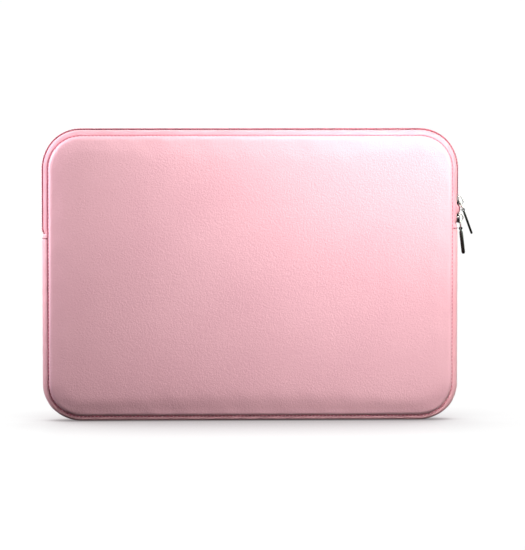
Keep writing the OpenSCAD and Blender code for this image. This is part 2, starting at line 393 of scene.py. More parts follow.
def tape_material(name, light, dark, pitch=0.9):
    """Ribbed woven tape."""
    m, tree, shader = material(name, 0.6, sheen=0.3, specular=0.35)
    position = coordinates(tree)
    rib = weave(tree, pitch, position)
    cloud = noise_texture(tree, position, scale=60, detail=3)
    colour = math_node(tree, "ADD", math_node(tree, "MULTIPLY", rib, 0.18), cloud)
    tree.links.new(ramp(tree, colour, [(0.25, dark), (0.8, light)]), shader.inputs["Base Color"])
    fuzz = noise_texture(tree, position, scale=1500, detail=3)
    bump(tree, shader, [(rib, 0.45, 0.00016), (fuzz, 0.2, 0.0001)])
    return m


def nylon_material(name, light, dark):
    """Smooth drawn nylon."""
    m, tree, shader = material(name, 0.38, specular=0.5)
    position = coordinates(tree)
    cloud = noise_texture(tree, position, scale=300, detail=3)
    tree.links.new(ramp(tree, cloud, [(0.3, dark), (0.7, light)]), shader.inputs["Base Color"])
    bump(tree, shader, [(noise_texture(tree, position, scale=2500, detail=2), 0.12, 0.00005)])
    return m


def thread_material(name, light, dark):
    """Twisted thread."""
    m, tree, shader = material(name, 0.5, sheen=0.3)
    position = coordinates(tree, rotation=(0.5, 0.6, 0.5))
    twist = tree.nodes.new("ShaderNodeTexWave")
    twist.inputs["Scale"].default_value = 900
    twist.inputs["Distortion"].default_value = 0.6
    tree.links.new(position, twist.inputs["Vector"])
    tree.links.new(ramp(tree, twist.outputs[0], [(0.2, dark), (0.8, light)]), shader.inputs["Base Color"])
    bump(tree, shader, [(twist.outputs[0], 0.4, 0.00006)])
    return m


def plush_material(name, light, dark):
    """Short pile."""
    m, tree, shader = material(name, 0.85, sheen=0.6, sheen_roughness=0.6, specular=0.2)
    position = coordinates(tree)
    pile = noise_texture(tree, position, scale=1400, detail=5, rough=0.7)
    slow = noise_texture(tree, position, scale=22, detail=3)
    mixed = weighted(tree, slow, 0.6, pile, 0.4)
    tree.links.new(ramp(tree, mixed, [(0.3, dark), (0.72, light)]), shader.inputs["Base Color"])
    bump(tree, shader, [(pile, 0.7, 0.0005)])
    return m


def foam_material(name, light, dark):
    """Open-celled foam."""
    m, tree, shader = material(name, 0.9, specular=0.2)
    position = coordinates(tree)
    cells = tree.nodes.new("ShaderNodeTexVoronoi")
    cells.inputs["Scale"].default_value = 1100
    tree.links.new(position, cells.inputs["Vector"])
    colour = ramp(tree, cells.outputs["Distance"], [(0.1, dark), (0.6, light)])
    tree.links.new(colour, shader.inputs["Base Color"])
    bump(tree, shader, [(cells.outputs["Distance"], 0.6, 0.0004)])
    return m


def metal_material(name, light, dark, rough):
    """Plated metal with faint rubbing marks."""
    m, tree, shader = material(name, rough, metallic=1.0)
    position = coordinates(tree)
    wear = noise_texture(tree, position, scale=240, detail=5, rough=0.65)
    tree.links.new(ramp(tree, wear, [(0.3, dark), (0.7, light)]), shader.inputs["Base Color"])
    scratch = noise_texture(tree, coordinates(tree, scale=(1, 1, 0.08)), scale=2600, detail=2, rough=0.5)
    value = math_node(tree, "ADD", math_node(tree, "MULTIPLY", scratch, 0.14), rough - 0.05)
    tree.links.new(value, shader.inputs["Roughness"])
    bump(tree, shader, [(wear, 0.08, 0.00012)])
    return m


PINK = cloth_material("soft_touch_cloth", (0.75, 0.39, 0.475), (0.69, 0.345, 0.43))
BAND = cloth_material("gusset_cloth", (0.76, 0.375, 0.445), (0.70, 0.32, 0.385), crinkle=0.25)
TAPE = tape_material("zip_tape", (0.76, 0.345, 0.425), (0.70, 0.285, 0.355))
COIL = nylon_material("zip_coil", (0.47, 0.11, 0.17), (0.34, 0.06, 0.10))
BINDING = tape_material("seam_binding", (0.75, 0.33, 0.41), (0.62, 0.24, 0.32), pitch=0.7)
THREAD = thread_material("stitching", (0.68, 0.15, 0.25), (0.44, 0.07, 0.14))
# near-black marks painted as the shade in the needle holes of the tab stitching
NEEDLE_SHADE = thread_material("needle_hole_shade", (0.16, 0.03, 0.06), (0.09, 0.015, 0.03))
PLUSH = plush_material("plush_lining", (0.84, 0.46, 0.53), (0.74, 0.36, 0.44))
FOAM = foam_material("foam", (0.62, 0.62, 0.64), (0.42, 0.42, 0.44))
STEEL = metal_material("slider_metal", (0.74, 0.74, 0.73), (0.62, 0.62, 0.61), rough=0.13)
# the slider mouth's near-black metal is painted shade, for the shadow inside the mouth
MOUTH_SHADE = metal_material("slider_mouth_shade", (0.03, 0.03, 0.03), (0.015, 0.015, 0.015), rough=0.45)
DARK_STEEL = metal_material("pull_metal", (0.042, 0.047, 0.043), (0.028, 0.03, 0.028), rough=0.24)


def finish_piece(o, mat, nodes, body):
    """Gives a piece its material, hides the CAD nodes that it stands in for, and attaches it to its body. With two
    bodies it is only baked in place and attached to neither.
    """
    o.data.materials.clear()
    o.data.materials.append(mat)
    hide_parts(*nodes)
    if isinstance(body, tuple):
        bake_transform(o)
    else:
        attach(o, body)


FRONT = ("sleeve", "front_flap")


# ---- Panels ----
RINGS = [0, 0.5, 1.3, 2.4, 4.0, 6.2, 9.0, 12.5, 17.0, 22.0, 27.0]  # insets of a panel's rings from the seam
GRID_STEP, CORNER_STEPS = 4.0, 10


def panel_mesh(name, height):
    """A rounded rectangle of quads in rings that follow the seam, with a grid inside. height(inset) is the
    distance from the middle plane. The mesh faces the front."""
    nx, nz = round(2 * LONG_RUN / GRID_STEP), round(2 * SIDE_RUN / GRID_STEP)
    verts, faces = [], []
    for j in range(nz + 1):
        for i in range(nx + 1):
            verts.append((-LONG_RUN + 2 * LONG_RUN * i / nx, -SIDE_RUN + 2 * SIDE_RUN * j / nz))

    def at(i, j):
        return j * (nx + 1) + i

    for j in range(nz):
        for i in range(nx):
            faces.append((at(i, j), at(i + 1, j), at(i + 1, j + 1), at(i, j + 1)))
    border = []  # (grid vertex, outward direction)
    for j in range(nz):
        border.append((at(nx, j), (1, 0)))
    for q, (i, j) in enumerate([(nx, nz), (0, nz), (0, 0), (nx, 0)]):
        for k in range(CORNER_STEPS + 1):
            a = math.pi / 2 * (q + k / CORNER_STEPS)
            border.append((at(i, j), (math.cos(a), math.sin(a))))
        if q == 0:
            border += [(at(i, nz), (0, 1)) for i in range(nx - 1, 0, -1)]
        if q == 1:
            border += [(at(0, j), (-1, 0)) for j in range(nz - 1, 0, -1)]
        if q == 2:
            border += [(at(i, 0), (0, -1)) for i in range(1, nx)]
    border = border[1:]  # the first one repeats the last corner's end
    n = len(border)
    previous = [v for v, _ in border]
    for inset in RINGS[::-1][1:]:
        reach = CORNER - inset
        ring = []
        for v, (dx, dz) in border:
            ring.append(len(verts))
            verts.append((verts[v][0] + dx * reach, verts[v][1] + dz * reach))
        for k in range(n):
            a, b, c, d = previous[k], previous[(k + 1) % n], ring[(k + 1) % n], ring[k]
            faces.append((a, d, c, b) if a != b else (a, d, c))
        previous = ring
    p = np.array(verts)
    x, z = p[:, 0], p[:, 1] + CENTER_Z
    y = -height(inset_of(x, z))
    return new_object(name, np.stack([x, y, z], 1), faces)


EDGE_WIDTH, EDGE_HEIGHT = 3.8, 3.35  # the padded edge's round
CROWN_WIDTH, CROWN_HEIGHT = 50.0, 0.55  # the slow rise inside it


def crown(inset):
    """The outer face of a panel: a rounded padded edge that goes on rising slowly inward."""
    edge = np.clip(inset / EDGE_WIDTH, 0, 1)
    round_edge = EDGE_HEIGHT * np.sqrt(np.clip(1 - (1 - edge) ** 2, 0, 1))
    far = np.clip(inset / CROWN_WIDTH, 0, 1)
    return SEAM_Y + round_edge + CROWN_HEIGHT * (1 - (1 - far) ** 2)


HELD_WIDTH = 3.0
PUFF_FRAMES, PUFF_CAP = 20, 0.7


def cloth_puff(o):
    """Blows the panel up with a short cloth simulation, held at the seam, and keeps the result."""
    rest = points_of(o)
    group = o.vertex_groups.new(name="held")
    inset = inset_of(rest[:, 0], rest[:, 2])
    for i in np.nonzero(inset < HELD_WIDTH)[0]:
        group.add([int(i)], float(np.clip(1.2 - inset[i] / HELD_WIDTH, 0.05, 1)), "REPLACE")
    m = o.modifiers.new("cloth", "CLOTH")
    s = m.settings
    s.quality = 6
    s.mass = 0.25
    s.tension_stiffness = s.compression_stiffness = 18
    s.shear_stiffness = 8
    s.bending_stiffness = 12.0
    s.use_pressure = True
    s.uniform_pressure_force = 1.5
    s.shrink_min = -0.0008
    s.vertex_group_mass = "held"
    s.effector_weights.gravity = 0
    m.collision_settings.use_collision = False
    m.point_cache.frame_start, m.point_cache.frame_end = 1, PUFF_FRAMES
    for frame_number in range(1, PUFF_FRAMES + 1):
        bpy.context.scene.frame_set(frame_number)
    dg = bpy.context.evaluated_depsgraph_get()
    mesh = bpy.data.meshes.new_from_object(o.evaluated_get(dg), depsgraph=dg)
    moved = np.zeros(len(mesh.vertices) * 3)
    mesh.vertices.foreach_get("co", moved)
    bpy.data.meshes.remove(mesh)
    moved = moved.reshape(-1, 3) / MM
    o.modifiers.clear()
    bpy.context.scene.frame_set(1)
    shift = moved - rest
    length = np.linalg.norm(shift, axis=1, keepdims=True)
    print(f"cloth {o.name}: largest move {length.max():.2f} mm, mean {length.mean():.2f} mm")
    shift *= np.minimum(1, PUFF_CAP / np.maximum(length, 1e-9))
    set_points(o, rest + shift)


def outer_panel(name, seed):
    """A panel's outer cloth. It is made facing the front."""
    o = panel_mesh(name, crown)
    cloth_puff(o)
    subdivide(o, 2)
    p = points_of(o)
    inset = np.maximum(inset_of(p[:, 0], p[:, 2]), 0)
    s = along_of(p[:, 0], p[:, 2])
    near = np.exp(-((inset / 5.0) ** 2))
    # drawn in at each stitch, puckered along the seam, softly uneven all over, and turned under at the bottom
    pull = (np.cos(2 * math.pi * s / PULL_PITCH + 0.6 * np.sin(s / 11.0 + seed)) - 1) * 0.10 * near
    line = np.stack([s, np.full_like(s, seed * 7), inset * 0.5], 1)
    pucker = smooth_noise(line, 9.0, seed) * 0.16 * np.exp(-(((inset - 3) / 4.0) ** 2))
    broad = smooth_noise(p, 55.0, seed) * 0.22 * np.clip(inset / 25.0, 0, 1)
    fold = smooth_noise(p * [1, 0, 1.8], 13.0, seed + 3) * 0.025 * np.clip(inset / 12.0, 0, 1)
    low_edge = 0.95 * np.clip((30 - p[:, 2]) / 14, 0, 1) * np.exp(-(((inset - 2.0) / 8.5) ** 2))
    p[:, 1] -= pull + pucker + broad + fold - low_edge
    set_points(o, p)
    return o


def mirror_back(o):
    """Turns a piece made for the front into the one for the back."""
    p = points_of(o)
    p[:, 1] *= -1
    set_points(o, p)
    o.data.flip_normals()
    return o


front_skin = outer_panel("front_panel_cloth", 0.0)
back_skin = mirror_back(outer_panel("back_panel_cloth", 5.0))


FOAM_LOW, FOAM_LIP = 9.75, 0.3  # the foam's inner face, and its thickness at the seam
FOAM_COVER = 1.3  # from the cloth's outer face down to the foam
FOAM_ROUND = 5.0
FOAM_SHORT = 1.6  # how much narrower than the panel the foam is cut


def foam_top(inset):
    """The foam's outer face, under the cloth."""
    full = crown(inset) - FOAM_COVER
    return FOAM_LOW + FOAM_LIP + (full - FOAM_LOW - FOAM_LIP) * np.clip(inset / FOAM_ROUND, 0, 1) ** 0.5


def foam_bottom(inset):
    return FOAM_LOW + 0 * inset


def foam_slab(name, facing_back=False):
    """A panel's foam: a padded slab with rounded edges."""
    top = panel_mesh(name + "_a", foam_top)
    bottom = panel_mesh(name + "_b", foam_bottom)
    bottom.data.flip_normals()
    for o in (top, bottom):
        p = points_of(o)
        x, z = p[:, 0], p[:, 2] - CENTER_Z
        p[:, 0], p[:, 2] = x * (1 - FOAM_SHORT / PANEL_W), z * (1 - FOAM_SHORT / PANEL_H) + CENTER_Z
        set_points(o, p)
    o = joined(name, [top, bottom])
    bm = bmesh.new()
    bm.from_mesh(o.data)
    edges = [e for e in bm.edges if e.is_boundary]
    bmesh.ops.bridge_loops(bm, edges=edges)
    bmesh.ops.recalc_face_normals(bm, faces=bm.faces)
    bm.to_mesh(o.data)
    bm.free()
    if facing_back:
        mirror_back(o)
    return subdivide(o, 1)


front_foam = foam_slab("front_panel_foam")
back_foam = foam_slab("back_panel_foam", facing_back=True)


def lining_height(inset):
    """The lining's distance from the middle plane: it sags a little towards the pocket."""
    return 9.45 - 0.35 * np.clip(inset / 12.0, 0, 1)


def lining_panel(name, seed):
    """A panel's lining, a sheet that faces the pocket."""
    o = panel_mesh(name, lining_height)
    subdivide(o, 1)
    p = points_of(o)
    inset = np.maximum(inset_of(p[:, 0], p[:, 2]), 0)
    p[:, 1] += smooth_noise(p, 30.0, seed) * 0.12 * np.clip(inset / 15.0, 0, 1)
    set_points(o, p)
    o.data.flip_normals()
    return o


front_lining = lining_panel("front_panel_lining", 8.0)
back_lining = mirror_back(lining_panel("back_panel_lining", 9.0))

for piece, mat, slot, nodes, body in [
    (front_skin, PINK, "outer_fabric", ["front_skin", "flap_skin"], FRONT),
    (back_skin, PINK, "outer_fabric", ["back_skin"], "sleeve"),
    (front_foam, FOAM, "foam", ["front_foam", "flap_foam"], FRONT),
    (back_foam, FOAM, "foam", ["back_foam"], "sleeve"),
    (front_lining, PLUSH, "lining", ["front_lining", "flap_lining"], FRONT),
    (back_lining, PLUSH, "lining", ["back_lining"], "sleeve"),
]:
    finish_piece(piece, mat, nodes, body)


# ---- Gusset: a padded strip round the bottom and the lower sides ----
GUSSET_FROM, GUSSET_TO = s_left(ZIP_LEFT - TAB * 0.5), PERIMETER + s_right(ZIP_RIGHT - TAB * 0.5)
SIDE_BULGE = 1.2  # how much fuller the gusset is at the sides than at the bottom
GUSSET_SIDES = 24


def smooth_step(t):
    t = min(max(t, 0.0), 1.0)
    return t * t * (3 - 2 * t)


def gusset_rise(s):
    """Height of the gusset over the seam: pulled in a little under the two tabs, and fuller at the sides."""
    _, _, nx, _ = seam_point(s)
    dip = min(s - GUSSET_FROM, GUSSET_TO - s)
    return RISE + SIDE_BULGE * smooth_step((abs(nx) - 0.3) / 0.7) - 0.5 * (1 - smooth_step(dip / 4.5))


def oval(rise, half, power, a):
    """The point u, y on a rounded hump at the angle a, from 0 at the front to pi at the back."""
    c, q = math.cos(a), math.sin(a)
    return rise * abs(q) ** (2 / power), half * (abs(c) ** (2 / power)) * (1 if c > 0 else -1)


def gusset_profile(s, inset):
    """The gusset's hump, boxier along the bottom, at a depth under its outer face."""
    _, _, _, nz = seam_point(s)
    power = 2.6 + 1.6 * smooth_step((-nz - 0.2) / 0.6)
    rise, half = gusset_rise(s) - inset, SEAM_Y - inset * 0.9
    return [oval(rise, half, power, math.pi * i / GUSSET_SIDES) for i in range(GUSSET_SIDES + 1)]


def gusset_strip(name, inset, thickness, step, wrinkle=0, seed=0):
    """A closed strip of the given thickness."""
    def profile(s):
        return gusset_profile(s, inset) + gusset_profile(s, inset + thickness)[::-1]

    o = sweep(name, profile, steps(GUSSET_FROM, GUSSET_TO, step))
    if wrinkle:
        p = points_of(o)
        s = along_of(p[:, 0], p[:, 2])
        edge = np.clip(np.abs(p[:, 1]) / SEAM_Y, 0, 1) ** 3
        amount = smooth_noise(np.stack([s, p[:, 1] * 0.6, 0 * s], 1), 7.0, seed) * wrinkle * (0.4 + edge)
        amount += (np.cos(2 * math.pi * s / PULL_PITCH) - 1) * 0.06 * edge
        floor = np.clip((p[:, 2] - 0.5) / 3.0, 0, 1)  # the strip it stands on stays flat
        side = np.sign(p[:, 1]) * edge
        p[:, 1] += side * amount * 0.6
        push = amount * (1 - 0.6 * edge) * floor
        x, z = p[:, 0], p[:, 2] - CENTER_Z
        d = np.stack([x - np.clip(x, -LONG_RUN, LONG_RUN), z - np.clip(z, -SIDE_RUN, SIDE_RUN)], 1)
        d /= np.maximum(np.linalg.norm(d, axis=1, keepdims=True), 1e-6)
        p[:, 0] += d[:, 0] * push
        p[:, 2] = np.maximum(p[:, 2] + d[:, 1] * push, 0.0)
        set_points(o, p)
    return o


gusset_skin = gusset_strip("gusset_cloth", inset=0.0, thickness=0.5, step=1.0, wrinkle=0.30, seed=2.0)
gusset_foam = gusset_strip("gusset_foam_pad", inset=0.62, thickness=2.1, step=3.0)
gusset_lining = gusset_strip("gusset_lining_strip", inset=2.85, thickness=0.4, step=3.0)
finish_piece(gusset_skin, BAND, ["gusset_skin"], "sleeve")
finish_piece(gusset_foam, FOAM, ["gusset_foam"], "sleeve")
finish_piece(gusset_lining, PLUSH, ["gusset_lining"], "sleeve")

# ---- Zip tapes: woven strips that curl over from each seam to the coil ----
UNDER_TAB = 3.0  # how far the tapes run in under the tabs
ZIP_FROM, ZIP_TO = s_right(ZIP_RIGHT - UNDER_TAB), s_left(ZIP_LEFT - UNDER_TAB)
SHUT_FROM = s_right(UPPER_Z + 5.5)  # the zip is shut from here on, above the upper slider
GAPE = 2.0  # how far the tapes stand out between the sliders


def tape_rise(s):
    """The tape stands a little prouder along the top and where it gapes between the sliders, and dives under
    the tabs at its ends."""
    _, _, _, nz = seam_point(s)
    end = min(s - ZIP_FROM, ZIP_TO - s)
    gape = GAPE * smooth_step(1.35 - abs(s - s_right((UPPER_Z + LOWER_Z) / 2)) / 3.4)
    top = 0.55 * smooth_step((nz - 0.3) / 0.6)
    return TAPE_RISE + gape + top - 1.6 * (1 - smooth_step((end - 1.5) / 5.5))


def openness(s):
    """0 where the zip is shut, 1 where it is open, at the sliders."""
    return smooth_step((SHUT_FROM - s) / 6.0)


def tape_profile(s):
    """One tape: flat from its edge to TAPE_FLAT, then curled over to the seam."""
    rise = tape_rise(s)
    gap = 0.22 + 0.38 * openness(s)  # half the gap between the two tapes
    edge = gap + 0.05
    span = SEAM_Y - TAPE_FLAT
    line = [(rise, edge + (TAPE_FLAT - edge) * i / 6) for i in range(7)]
    for i in range(1, 13):
        a = math.pi / 2 * i / 12
        line.append((rise * math.cos(a) ** 0.85, TAPE_FLAT + span * math.sin(a) ** 1.1))
    outer, inner = [], []
    for i, (u, y) in enumerate(line):
        a, b = line[max(i - 1, 0)], line[min(i + 1, len(line) - 1)]
        tu, ty = b[0] - a[0], b[1] - a[1]
        length = math.hypot(tu, ty)
        nu, ny = ty / length, -tu / length
        outer.append((u, y))
        inner.append((u - nu * TAPE_T, y - ny * TAPE_T))
    return outer + inner[::-1]


def zip_tape(name, front, seed):
    side = -1 if front else 1
    o = sweep(name, lambda s: [(u, y * side) for u, y in tape_profile(s)], steps(ZIP_FROM, ZIP_TO, 1.0))
    p = points_of(o)
    s = along_of(p[:, 0], p[:, 2])
    near = np.clip((np.abs(p[:, 1]) - TAPE_FLAT) / (SEAM_Y - TAPE_FLAT), 0, 1)
    amount = smooth_noise(np.stack([s, p[:, 1] * 0.4, 0 * s], 1), 8.0, seed) * 0.28 * near
    amount += (np.cos(2 * math.pi * s / PULL_PITCH) - 1) * 0.07 * near ** 2
    p[:, 1] += side * amount
    set_points(o, p)
    return o


front_tape = zip_tape("front_zip_tape_strip", True, 4.0)
back_tape = zip_tape("back_zip_tape_strip", False, 6.0)
tape_nodes = ["flap_zip_tape", "left_zip_tape_end", "right_zip_tape_end"]
finish_piece(front_tape, TAPE, tape_nodes, FRONT)
finish_piece(back_tape, TAPE, ["back_zip_tape"], "sleeve")

# ---- Coils: a nylon spiral along each tape's edge ----
PITCH, WIRE = 2.03, 0.42
COIL_BACK = 2.86  # the back of each row's loops, from the middle plane
COIL_FROM, COIL_TO = s_right(ZIP_RIGHT - 1.5), s_left(ZIP_LEFT - 1.5)


def coil(name, front):
    """One row. The two rows are half a pitch apart, so that their heads lie between each other."""
    side = -1 if front else 1
    phase = 0.0 if front else 0.5
    around, tube = 12, 6
    turns = int((COIL_TO - COIL_FROM) / PITCH)
    centres, across = [], []
    for k in range(turns * around + 1):
        t = k / around
        s = COIL_FROM + (t + phase) * PITCH
        a = 2 * math.pi * t
        head = 0.95 - 1.18 * (1 - openness(s))  # how near the row's head comes to the middle line
        middle, half = (head + COIL_BACK) / 2, (COIL_BACK - head) / 2
        flat = abs(math.cos(a)) ** 0.75 * (1 if math.cos(a) > 0 else -1)
        y = side * (middle - half * flat)
        u = tape_rise(s) + 0.66 + 0.40 * math.sin(a)
        bite = 0.4 * math.sin(a)  # the loops lean along the zip
        x, z, nx, nz = seam_point(s + bite)
        centres.append(Vector((x + nx * u, y, z + nz * u)))
        across.append(Vector((nx, 0, nz)))
    verts = []
    for k, c in enumerate(centres):
        d = (centres[min(k + 1, len(centres) - 1)] - centres[max(k - 1, 0)]).normalized()
        e = d.cross(across[k])
        if e.length < 1e-6:
            e = Vector((0, 1, 0))
        e.normalize()
        f = d.cross(e).normalized()
        for j in range(tube):
            b = 2 * math.pi * j / tube
            verts.append(c + (e * math.cos(b) + f * math.sin(b)) * WIRE)
    o = new_object(name, verts, tube_faces(len(centres), tube))
    outward(o)
    return o


front_coil = coil("front_zip_coil_spiral", True)
back_coil = coil("back_zip_coil_spiral", False)
coil_nodes = ["flap_zip_coil", "left_zip_coil_end", "right_zip_coil_end"]
finish_piece(front_coil, COIL, coil_nodes, FRONT)
finish_piece(back_coil, COIL, ["back_zip_coil"], "sleeve")


# ---- Stitches ----
def capsule(centre, along, up, length, radius):
    """Points and faces of one stitch, a short thread that dips at both ends."""
    side = along.cross(up).normalized()
    verts, n = [], 6
    # place, thickness and lift, from one end to the middle
    half = [(0.5, 0.35, -0.30), (0.38, 0.9, -0.10), (0.12, 1, 0.06)]
    stations = [(-t, r, lift) for t, r, lift in half] + half[::-1]
    for t, r, lift in stations:
        c = centre + along * (t * length) + up * (lift * radius * 2)
        for j in range(n):
            a = 2 * math.pi * j / n
            verts.append(c + (side * math.cos(a) + up * math.sin(a)) * radius * r)
    return verts, tube_faces(len(stations), n)


def add_stitch(verts, faces, *stitch):
    """Adds one capsule to the lists."""
    v, f = capsule(*stitch)
    faces += [tuple(k + len(verts) for k in q) for q in f]
    verts += v


def seam_stitches(name, side):
    """The row of stitches in the groove of a seam, at the front (-1) or the back (1)."""
    pitch, length, radius = 3.1, 2.2, 0.34
    u, y = 0.05, SEAM_Y + 0.42
    verts, faces = [], []
    for i in range(int(PERIMETER / pitch)):
        x, z, nx, nz = seam_point((i + 0.5) * pitch)
        centre = Vector((x + nx * u, side * y, z + nz * u))
        up = Vector((nx * 0.15, side, nz * 0.15)).normalized()
        add_stitch(verts, faces, centre, Vector((-nz, 0, nx)).normalized(), up, length, radius)
    return new_object(name, verts, faces)


front_stitches = seam_stitches("front_seam_stitches", -1)
back_stitches = seam_stitches("back_seam_stitches", 1)
finish_piece(front_stitches, THREAD, ["front_seam_thread", "flap_seam_thread"], FRONT)
finish_piece(back_stitches, THREAD, ["back_seam_thread"], "sleeve")


# ---- Binding over the raw seams inside ----
def binding(name, side, seed):
    """A soft bead of tape that runs all the way round inside a seam."""
    profile, n = [], 16
    for i in range(n):
        a = 2 * math.pi * i / n
        profile.append((-0.9 + 0.85 * math.cos(a), side * (8.55 + 0.62 * math.sin(a))))
    rows = steps(0, PERIMETER, 2.0)[:-1]
    verts = []
    for s in rows:
        x, z, nx, nz = seam_point(s)
        verts += [(x + nx * u, y, z + nz * u) for u, y in profile]
    o = new_object(name, verts, loop_faces(len(rows), n))
    outward(o)
    p = points_of(o)
    p += smooth_noise(p, 6.0, seed)[:, None] * 0.10
    set_points(o, p)
    return o


front_binding = binding("front_inner_binding", -1, 1.0)
back_binding = binding("back_inner_binding", 1, 2.0)
finish_piece(front_binding, BINDING, ["front_seam_binding", "flap_seam_binding"], FRONT)
finish_piece(back_binding, BINDING, ["back_seam_binding"], "sleeve")


# ---- Tabs over the zip's ends ----
def tab_surface(t, a):
    """The point u, y on a tab's outer face: t from -1 to 1 along the zip, a from 0 in front to pi at the back."""
    rise = 3.9 + 0.85 * math.sqrt(max(0.0, 1 - t * t)) ** 0.7
    return oval(rise, SEAM_Y - 0.12, 2.8, a)


def tab(name, s_mid, seed):
    """A folded piece of cloth over the end of the zip, with rounded edges across the zip."""
    def profile(s):
        t = (s - s_mid) / (TAB * 0.5)
        outer = [tab_surface(t, math.pi * i / 20) for i in range(21)]
        depth = 0.30 + 0.75 * math.sqrt(max(0.0, 1 - t * t))
        inner = [(max(u - depth, 0.15 * u), y * 0.97) for u, y in outer]
        return outer + inner[::-1]

    o = sweep(name, profile, [s_mid + TAB * 0.5 * math.sin(math.pi * (i / 16 - 0.5)) for i in range(17)])
    p = points_of(o)
    p[:, 0] += smooth_noise(p, 4.0, seed) * 0.12
    set_points(o, p)
    return o


left_tab = tab("left_zip_tab", s_left(ZIP_LEFT - TAB * 0.5), 1.0)
right_tab = tab("right_zip_tab", s_right(ZIP_RIGHT - TAB * 0.5), 2.0)


def tab_stitches(name, s_at, hole):
    """A row of stitches across a tab, or the dark marks between them, painted shade for the holes that they run
    into.
    """
    count, t = 17, 0.44  # stitches and holes in turn, and where on the tab they are
    length, radius = (1.3, 0.50) if hole else (2.2, 0.32)
    verts, faces = [], []
    x, z, nx, nz = seam_point(s_at)
    out = Vector((nx, 0, nz))
    for i in range(1 if hole else 0, count, 2):
        a = math.pi * (i + 0.5) / count
        u, y = tab_surface(t, a)
        u1, y1 = tab_surface(t, a + 0.02)
        along = (out * (u1 - u) + Vector((0, y1 - y, 0))).normalized()
        up = along.cross(Vector((-nz, 0, nx)))
        up = up if up.dot(out * u * 2.5 + Vector((0, y, 0))) > 0 else -up
        add_stitch(verts, faces, Vector((x + nx * u, y, z + nz * u)), along, up, length, radius)
    return new_object(name, verts, faces)


for side_name, s_at, tab_piece in [
    ("left", s_left(ZIP_LEFT - TAB * 0.72), left_tab),
    ("right", s_right(ZIP_RIGHT - TAB * 0.72), right_tab),
]:
    finish_piece(tab_piece, BAND, [side_name + "_zip_end_tab"], "sleeve")
    finish_piece(tab_stitches(side_name + "_tab_stitches", s_at, False), THREAD, [], "sleeve")
    finish_piece(tab_stitches(side_name + "_tab_needle_holes", s_at, True), NEEDLE_SHADE, [], "sleeve")

# ---- Sliders, links and pulls, in the CAD's measures ----
TAPE_X = PANEL_W / 2 + TAPE_RISE
WING_TOP = 1.4 + 0.25 + 1.0  # coil, clearance and plate
PIVOT = (WING_TOP + 0.65, -1.8)  # the link's pivot, outward and up from the slider's middle
LINK_LEN, LINK_ARM, LINK_BEND, LINK_WIRE = 6.8, 2.05, 0.9, 0.45


def plate(name, outline, low, high, bevel):
    """A flat plate from an outline (y, z), between two distances x from the tape, with rounded edges."""
    bm = bmesh.new()
    bottom = [bm.verts.new((low * MM, y * MM, z * MM)) for y, z in outline]
    top = [bm.verts.new((high * MM, y * MM, z * MM)) for y, z in outline]
    n = len(outline)
    bm.faces.new(bottom[::-1])
    bm.faces.new(top)
    for i in range(n):
        bm.faces.new((bottom[i], bottom[(i + 1) % n], top[(i + 1) % n], top[i]))
    bmesh.ops.recalc_face_normals(bm, faces=bm.faces)
    sharp = [e for e in bm.edges if len(e.link_faces) == 2 and e.calc_face_angle() > 0.6]
    bmesh.ops.bevel(bm, geom=sharp, offset=bevel * MM, segments=3, profile=0.5, affect="EDGES")
    mesh = bpy.data.meshes.new(name)
    bm.to_mesh(mesh)
    bm.free()
    return placed(name, mesh)


def wing_outline():
    """A slider's outline: rounded at the tail and the mouth, a little wider at the mouth."""
    half_length, half_width, corner_reach = 4.0, 4.3, 5.3
    right = []
    for z in np.linspace(-half_length, half_length, 19):
        width = half_width if z < 0 else half_width - 0.3 * z / half_length
        limit = math.sqrt(max(0.0, corner_reach ** 2 - z * z))
        right.append((min(width, limit), z))
    return right + [(-y, z) for y, z in right[::-1]]


def arch(name):
    """The arch on top of a slider, a thin curved strap that bulges most towards the mouth."""
    centre_x, mid_r, half, thick = WING_TOP - 0.5, 3.5, 1.1, 0.42
    n, m = 33, 16
    verts = []
    for i in range(n):
        a = math.pi * (0.035 + 0.93 * i / (n - 1)) - math.pi / 2
        swell = 1 + 0.25 * abs(math.sin(a)) ** 3
        for j in range(m):
            b = 2 * math.pi * j / m
            cb, sb = math.cos(b), math.sin(b)
            y = half * swell * abs(cb) ** 0.6 * (1 if cb > 0 else -1)
            r = mid_r + thick * abs(sb) ** 0.6 * (1 if sb > 0 else -1)
            verts.append((centre_x + r * math.cos(a), y, 0.98 * r * math.sin(a) - 0.8 * math.cos(a)))
    o = new_object(name, verts, tube_faces(n, m))
    outward(o)
    return o


def slider(name, z, flip, nodes, body):
    """Two plates, the side flanges and divider between them, and the arch. It is made mouth down."""
    outline = wing_outline()
    parts = [
        plate("a", outline, -2.0, -1.0, 0.3),
        plate("b", outline, 1.65, WING_TOP, 0.32),
        arch("c"),
    ]
    for side in (-1, 1):
        rim = [(side * y, q) for y, q in [(3.35, -1.4), (4.2, -1.4), (4.24, 0), (3.98, 3.5), (3.35, 3.6)]]
        parts.append(plate("d", rim if side > 0 else rim[::-1], 0.3, 2.0, 0.2))
    web = [(-0.38, -3.4), (0.38, -3.4), (0.16, -0.8), (-0.16, -0.8)]
    parts.append(plate("e", web, -1.3, 1.9, 0.08))
    o = joined(name, parts)
    shade_plates = []
    for side in (-1, 1):  # dark plates inside the mouth, painted shade where the mouth is only in shadow, set back from the plates' edges
        shade_plate = [(side * y, q) for y, q in [(3.45, -3.7), (3.75, -3.7), (3.75, -1.3), (3.45, -1.3)]]
        shade_plates.append(plate("f", shade_plate if side > 0 else shade_plate[::-1], -1.05, 1.7, 0.05))
    dark = joined(name.replace("body", "mouth"), shade_plates)
    for piece in (o, dark):
        p = points_of(piece)
        if flip:
            p[:, 2] *= -1
        p += [TAPE_X, 0, z]
        set_points(piece, p)
        outward(piece)
    finish_piece(dark, MOUTH_SHADE, [], body)
    finish_piece(o, STEEL, nodes, body)


